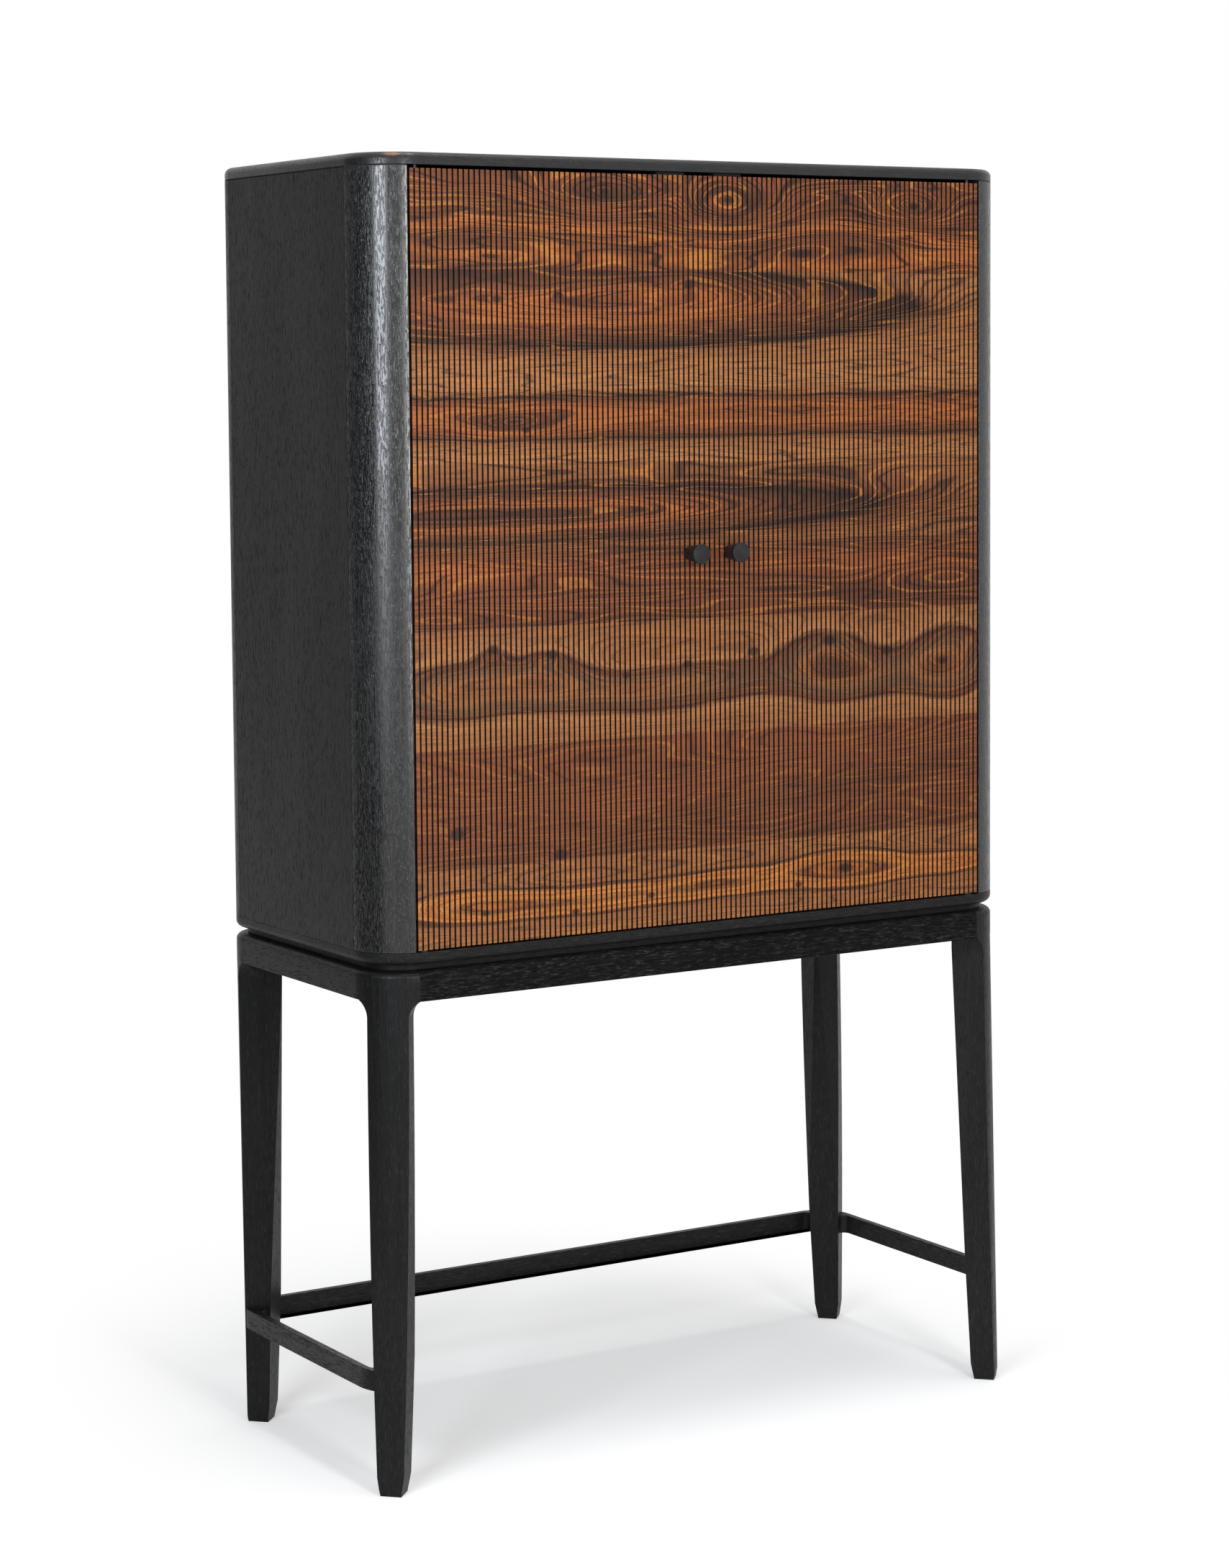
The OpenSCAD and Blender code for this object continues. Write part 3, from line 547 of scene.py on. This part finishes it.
def black_plastic():
    """Fine-grained black plastic of the catch cases."""
    finish = new_finish("Black plastic")
    grain = finish.noise((1400.0, 1400.0, 1400.0), 2.0)
    colour = finish.blend(grain, painted((24, 24, 25)), painted((38, 38, 40)))
    return finish.close(
        Base_Color=colour,
        Roughness=finish.rise(grain, 0.3, 0.7, 0.5, 0.62),
        Normal=finish.bump(grain, 0.03 * MM, 0.5),
    )


def body_of_node(name):
    """The CAD body that a node rides on."""
    for body, members in frame["record"]["behaviour"]["bodies"].items():
        if name in members:
            return body
    raise RuntimeError(f"no body holds {name}")


def slot_of_node(name):
    """The record's material slot of a node."""
    for row in frame["record"]["subparts"]:
        if row["node"] == name:
            return row["material_slot"]
    raise RuntimeError(f"no subpart is named {name}")


def stand_for(piece, name, material):
    """Gives a finished piece its material and body, and lets it stand for its node."""
    piece.data.materials.clear()
    piece.data.materials.append(material)
    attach(piece, body_of_node(name))
    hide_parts(name)


def eased(name, title, edge, material):
    """Adds a copy of a node with merged faces and eased edges, which stands for it."""
    source = NODES[name]
    piece = source.copy()
    piece.data = source.data.copy()
    piece.parent = None
    piece.name = title
    bpy.context.scene.collection.objects.link(piece)
    bpy.ops.object.select_all(action="DESELECT")
    piece.select_set(True)
    bpy.context.view_layer.objects.active = piece
    bpy.ops.mesh.customdata_custom_splitnormals_clear()
    bpy.ops.object.mode_set(mode="EDIT")
    bpy.ops.mesh.select_all(action="SELECT")
    bpy.ops.mesh.remove_doubles(threshold=WELD)
    bpy.ops.mesh.dissolve_limited(angle_limit=FLAT)
    bpy.ops.object.mode_set(mode="OBJECT")
    bpy.ops.object.shade_smooth_by_angle(angle=CREASE)
    easing = piece.modifiers.new("Eased edges", "BEVEL")
    easing.width = edge
    easing.segments = 2
    easing.limit_method = "ANGLE"
    easing.angle_limit = CREASE
    # on the legs and sides the easing is narrowed if it would run into itself
    easing.use_clamp_overlap = name.endswith(("leg", "side_panel"))
    easing.harden_normals = True
    bpy.ops.object.modifier_apply(modifier=easing.name)
    stand_for(piece, name, material)


class HighboardWood(bpy.types.PropertyGroup):
    """Colours and depths of the wood and lacquer."""

    black_deep: bpy.props.FloatVectorProperty(
        name="Deep black", description="Colour of the stained wood in its dark fibres",
        default=(0.0022, 0.0022, 0.0024), size=3, min=0, max=1, subtype="COLOR"
    )
    black_worn: bpy.props.FloatVectorProperty(
        name="Worn black", description="Colour of the stained wood in its pale fibres",
        default=(0.0105, 0.0105, 0.0110), size=3, min=0, max=1, subtype="COLOR"
    )
    black_gloss: bpy.props.FloatProperty(
        name="Satin", description="Roughness of the black wood",
        default=0.23, min=0.1, max=0.9, subtype="FACTOR"
    )
    pore_depth: bpy.props.FloatProperty(
        name="Pore depth", description="Depth of the open pores in the black wood",
        default=0.0003, min=0, max=0.002, unit="LENGTH", precision=5
    )
    figure: bpy.props.FloatProperty(
        name="Figure", description="How far the grain of the doors sways", default=1.0, min=0, max=2
    )
    lacquer: bpy.props.FloatVectorProperty(
        name="Knob lacquer", description="Colour of the knobs",
        default=(0.006, 0.006, 0.0065), size=3, min=0, max=1, subtype="COLOR"
    )


class HighboardEdges(bpy.types.PropertyGroup):
    """How far the edges are eased."""

    door_edge: bpy.props.FloatProperty(
        name="Slat edge", description="Rounding of the slats' edges",
        default=0.0004, min=0.0001, max=0.001, unit="LENGTH", precision=5
    )
    frame_edge: bpy.props.FloatProperty(
        name="Frame edge", description="Rounding of the edges of the black wood",
        default=0.0009, min=0.0001, max=0.002, unit="LENGTH", precision=5
    )
    knob_edge: bpy.props.FloatProperty(
        name="Knob edge", description="Rounding of the rim of a knob",
        default=0.0011, min=0.0002, max=0.003, unit="LENGTH", precision=5
    )


class HighboardStage(bpy.types.PropertyGroup):
    """The floor and the light."""

    floor_tone: bpy.props.FloatProperty(
        name="Floor tone", description="How pale the floor is", default=0.86, min=0, max=1, subtype="FACTOR"
    )
    sky: bpy.props.FloatProperty(
        name="Room light", description="Strength of the light from all round", default=0.34, min=0, max=2
    )
    strip_power: bpy.props.FloatProperty(
        name="Strip light", description="Power of the cool lamp on the left",
        default=72.0, min=0, unit="POWER"
    )
    top_power: bpy.props.FloatProperty(
        name="Top light", description="Power of the lamp above", default=125.0, min=0, unit="POWER"
    )
    front_power: bpy.props.FloatProperty(
        name="Front light", description="Power of the tall lamp in front", default=55.0, min=0, unit="POWER"
    )


# the black pieces: the axis of their grain, how open their pores are, and their sheen
BLACK_PIECES = {
    "top_panel": ("X", 0.6, 0.40),
    "bottom_panel": ("X", 0.6, 0.16),
    "left_side_panel": ("Z", 0.4, 0.17),
    "right_side_panel": ("Z", 0.4, 0.17),
    "left_corner_post": ("Z", 1.0, 0.56),
    "right_corner_post": ("Z", 1.0, 0.56),
    "left_back_post": ("Z", 0.6, 0.2),
    "right_back_post": ("Z", 0.6, 0.2),
}
STAND_PIECES = {
    "spacer_frame": ("X", 0.25, 0.14),
    "front_left_leg": ("Z", 0.4, 0.16),
    "front_right_leg": ("Z", 0.4, 0.16),
    "back_left_leg": ("Z", 0.4, 0.16),
    "back_right_leg": ("Z", 0.4, 0.16),
    "front_apron": ("X", 1.0, 0.05),
    "back_apron": ("X", 1.0, 0.16),
    "left_apron": ("Y", 0.4, 0.16),
    "right_apron": ("Y", 0.4, 0.16),
    "left_stretcher": ("Y", 0.6, 0.16),
    "right_stretcher": ("Y", 0.6, 0.16),
    "back_stretcher": ("X", 0.6, 0.16),
}


def eased_set(pieces, context):
    """Adds eased copies of the named nodes in black wood; like pieces share one material."""
    woods = {}
    for name, kind in pieces.items():
        if kind not in woods:
            woods[kind] = black_wood(*kind, context.scene.highboard_wood)
        eased(name, f"{name}_eased", context.scene.highboard_edges.frame_edge, woods[kind])


class HIGHBOARD_OT_carcass(bpy.types.Operator):
    """Finishes the black panels and posts of the carcass, its back and its shelves"""

    bl_idname = "highboard.carcass"
    bl_label = "Carcass"

    def execute(self, context):
        eased_set(BLACK_PIECES, context)
        shelf_wood = plain_wood("Oiled shelf wood", "X", (158, 104, 66), (104, 62, 40), 0.46)
        for name in ("lower_shelf", "middle_shelf", "upper_shelf"):
            eased(name, f"{name}_eased", context.scene.highboard_edges.frame_edge, shelf_wood)
        back = plain_wood("Stained back board", "Z", (46, 38, 34), (26, 21, 19), 0.55)
        eased("back_panel", "back_panel_eased", context.scene.highboard_edges.frame_edge, back)
        return {"FINISHED"}


class HIGHBOARD_OT_doors(bpy.types.Operator):
    """Finishes the two grooved doors in figured wood"""

    bl_idname = "highboard.doors"
    bl_label = "Doors"

    def execute(self, context):
        wood = door_wood(context.scene.highboard_wood)
        for side in ("left", "right"):
            eased(f"{side}_door_panel", f"{side}_door_eased", context.scene.highboard_edges.door_edge, wood)
        return {"FINISHED"}


class HIGHBOARD_OT_knobs(bpy.types.Operator):
    """Turns the two conical knobs, with a rounded rim at the face"""

    bl_idname = "highboard.knobs"
    bl_label = "Knobs"

    def execute(self, context):
        lacquer = matt_black(context.scene.highboard_wood)
        rim = context.scene.highboard_edges.knob_edge
        for side in ("left", "right"):
            low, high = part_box(f"{side}_knob")
            radius = (high.x - low.x) / 2
            bpy.ops.object.select_all(action="DESELECT")
            bpy.ops.mesh.primitive_cone_add(
                vertices=KNOB_SIDES,
                radius1=radius,
                radius2=radius * KNOB_NECK,
                depth=high.y - low.y,
                location=(low + high) / 2,
                rotation=(math.radians(-90), 0, 0),
            )
            knob = context.object
            knob.name = f"{side}_knob_turned"
            bpy.ops.object.transform_apply(location=True, rotation=True, scale=True)
            faces = [p.index for p in knob.data.polygons if p.normal.y < -0.99]
            if len(faces) != 1:
                raise RuntimeError("the knob has no single face")
            bpy.ops.object.mode_set(mode="EDIT")
            bpy.ops.mesh.select_mode(type="FACE")
            bpy.ops.mesh.select_all(action="DESELECT")
            bpy.ops.object.mode_set(mode="OBJECT")
            # edit mode makes the mesh anew, so the face is looked up again by its index
            knob.data.polygons[faces[0]].select = True
            bpy.ops.object.mode_set(mode="EDIT")
            bpy.ops.mesh.bevel(offset=rim, offset_type="OFFSET", segments=4, profile=0.5, affect="EDGES")
            bpy.ops.object.mode_set(mode="OBJECT")
            bpy.ops.object.shade_smooth_by_angle(angle=KNOB_CREASE)
            stand_for(knob, f"{side}_knob", lacquer)
        return {"FINISHED"}


class HIGHBOARD_OT_stand(bpy.types.Operator):
    """Finishes the spacer, legs, aprons and stretchers of the stand"""

    bl_idname = "highboard.stand"
    bl_label = "Stand"

    def execute(self, context):
        eased_set(STAND_PIECES, context)
        return {"FINISHED"}


class HIGHBOARD_OT_fittings(bpy.types.Operator):
    """Gives the pegs, screws, pins, catches and cleats their metal, plastic and raw wood"""

    bl_idname = "highboard.fittings"
    bl_label = "Fittings"

    def execute(self, context):
        finishes = {
            "steel": metal("Plated steel", (176, 176, 174), 0.34),
            "brass": metal("Satin brass", (202, 164, 96), 0.32),
            "black_plastic": black_plastic(),
            "blackened": metal("Blackened steel", (58, 58, 60), 0.45),
            "plain_wood": plain_wood("Raw peg wood", "X", (206, 170, 124), (176, 136, 92), 0.66),
        }
        for name, node in NODES.items():
            slot = "blackened" if "pivot" in name else slot_of_node(name)
            if slot in finishes:
                node.data.materials.clear()
                node.data.materials.append(finishes[slot])
        return {"FINISHED"}


def lamp(name, kind, power):
    """Adds a soft rectangular lamp that stays out of the picture."""
    place = Vector(kind.place)
    turn = (Vector(kind.aim) - place).to_track_quat("-Z", "Y").to_euler()
    bpy.ops.object.light_add(type="AREA", location=place, rotation=turn)
    made = bpy.context.object
    made.name = name
    made.data.shape = "RECTANGLE"
    made.data.size = kind.width
    made.data.size_y = kind.height
    made.data.energy = power
    made.data.color = kind.colour
    made.visible_camera = False


def floor_finish(tone):
    """A pale floor that fades into the white background away from the cabinet."""
    finish = new_finish("Pale floor")
    stretched = finish.vector("MULTIPLY", finish.place, FADE_STRETCH)
    distance = finish.vector("LENGTH", stretched, output="Value")
    seen = finish.seen()
    speck = finish.noise((60.0, 60.0, 60.0), 2.0)
    colour = finish.blend(finish.rise(speck, 0.3, 0.7) * 0.02, (tone, tone, tone, 1.0), (0.7, 0.7, 0.7, 1.0))
    matt = finish.node("ShaderNodeBsdfDiffuse", None, {"Color": colour})
    lift = finish.node("ShaderNodeEmission", None, {"Color": WHITE, "Strength": seen * NEAR_LIFT})
    near = finish.node("ShaderNodeAddShader", None, {0: matt, 1: lift})
    glow = finish.between(seen, FAR_GLOW, 1.0)
    far = finish.node("ShaderNodeEmission", None, {"Color": WHITE, "Strength": glow})
    fade = finish.rise(distance, FADE_START, FADE_END)
    return finish.end(finish.node("ShaderNodeMixShader", None, {0: fade, 1: near, 2: far}))


def card_finish():
    """Matt grey paper for the card beside the cabinet, which keeps its side dark."""
    finish = new_finish("Grey card")
    fleck = finish.noise((20.0, 20.0, 20.0), 2.0)
    colour = finish.blend(fleck, (0.10, 0.10, 0.10, 1.0), (0.13, 0.13, 0.13, 1.0))
    return finish.end(finish.node("ShaderNodeBsdfDiffuse", None, {"Color": colour}))


def soft_room(sky):
    """A white room that shows as white in the picture and in gloss, but lights the cabinet softly."""
    world = bpy.data.worlds.new("Soft room")
    room = Finish(world)
    strength = room.between(room.seen(), sky, 1.0)
    light = room.node("ShaderNodeBackground", None, {"Color": WHITE, "Strength": strength})
    room.node("ShaderNodeOutputWorld", None, {"Surface": light})
    return world


def pale_floor(tone):
    """Lays the round floor."""
    bpy.ops.mesh.primitive_circle_add(
        vertices=FLOOR_SIDES, radius=FLOOR_RADIUS, fill_type="NGON", location=(0, 0, 0)
    )
    floor = bpy.context.object
    floor.name = "floor"
    floor.data.materials.append(floor_finish(tone))


def grey_card():
    """Stands the card beside the cabinet and keeps it out of the picture."""
    bpy.ops.mesh.primitive_plane_add(size=1, location=(0, 0, 0))
    card = bpy.context.object
    card.name = "grey_card"
    for vertex, corner in zip(card.data.vertices, CARD_CORNERS):
        vertex.co = corner
    card.data.materials.append(card_finish())
    card.visible_camera = False


def photo_camera():
    """Adds the camera that sees the cabinet as the photograph does, and gives it."""
    yaw, pitch, roll = (math.radians(angle) for angle in CAMERA_TURN)
    ahead = Vector((math.sin(yaw) * math.cos(pitch), math.cos(yaw) * math.cos(pitch), math.sin(pitch)))
    level = Vector((math.cos(yaw), -math.sin(yaw), 0))
    upright = level.cross(ahead)
    right = level * math.cos(roll) + upright * math.sin(roll)
    up = upright * math.cos(roll) - level * math.sin(roll)
    turn = Matrix((right, up, -ahead)).transposed()
    bpy.ops.object.camera_add()
    camera = bpy.context.object
    camera.name = "photo_camera"
    camera.matrix_world = Matrix.Translation(CAMERA_PLACE) @ turn.to_4x4()
    camera.data.sensor_fit = "VERTICAL"
    camera.data.sensor_height = SENSOR_HEIGHT
    camera.data.lens = LENS
    camera.data.shift_y = LENS_SHIFT
    camera.data.clip_end = CAMERA_REACH
    return camera


class HIGHBOARD_OT_stage(bpy.types.Operator):
    """Sets up the pale floor, the soft lamps and the camera"""

    bl_idname = "highboard.stage"
    bl_label = "Stage"

    def execute(self, context):
        settings = context.scene.highboard_stage
        bpy.ops.object.select_all(action="DESELECT")
        pale_floor(settings.floor_tone)
        context.scene.world = soft_room(settings.sky)
        lamp("strip_lamp", STRIP_LAMP, settings.strip_power)
        lamp("front_lamp", FRONT_LAMP, settings.front_power)
        lamp("top_lamp", TOP_LAMP, settings.top_power)
        grey_card()
        context.scene.camera = photo_camera()
        context.scene.view_settings.view_transform = "Standard"
        return {"FINISHED"}


class HIGHBOARD_PT_finish(bpy.types.Panel):
    """Lists the steps that finish the highboard"""

    bl_idname = "HIGHBOARD_PT_finish"
    bl_label = "Highboard"
    bl_space_type = "VIEW_3D"
    bl_region_type = "UI"
    bl_category = "Highboard"

    def draw(self, context):
        for group in SETTINGS:
            settings = getattr(context.scene, group)
            for name in settings.bl_rna.properties.keys():
                if name not in ("rna_type", "name"):
                    self.layout.prop(settings, name)
        for step in STEPS:
            self.layout.operator(step.bl_idname)


STEPS = (
    HIGHBOARD_OT_carcass,
    HIGHBOARD_OT_doors,
    HIGHBOARD_OT_knobs,
    HIGHBOARD_OT_stand,
    HIGHBOARD_OT_fittings,
    HIGHBOARD_OT_stage,
)
SETTINGS = {
    "highboard_wood": HighboardWood,
    "highboard_edges": HighboardEdges,
    "highboard_stage": HighboardStage,
}


def register():
    for name, group in SETTINGS.items():
        bpy.utils.register_class(group)
        setattr(bpy.types.Scene, name, bpy.props.PointerProperty(type=group))
    for step in STEPS:
        bpy.utils.register_class(step)
    bpy.utils.register_class(HIGHBOARD_PT_finish)


def unregister():
    bpy.utils.unregister_class(HIGHBOARD_PT_finish)
    for step in reversed(STEPS):
        bpy.utils.unregister_class(step)
    for name, group in SETTINGS.items():
        delattr(bpy.types.Scene, name)
        bpy.utils.unregister_class(group)


def main():
    register()
    bpy.ops.highboard.carcass()
    bpy.ops.highboard.doors()
    bpy.ops.highboard.knobs()
    bpy.ops.highboard.stand()
    bpy.ops.highboard.fittings()
    bpy.ops.highboard.stage()


if __name__ == "__main__":
    main()
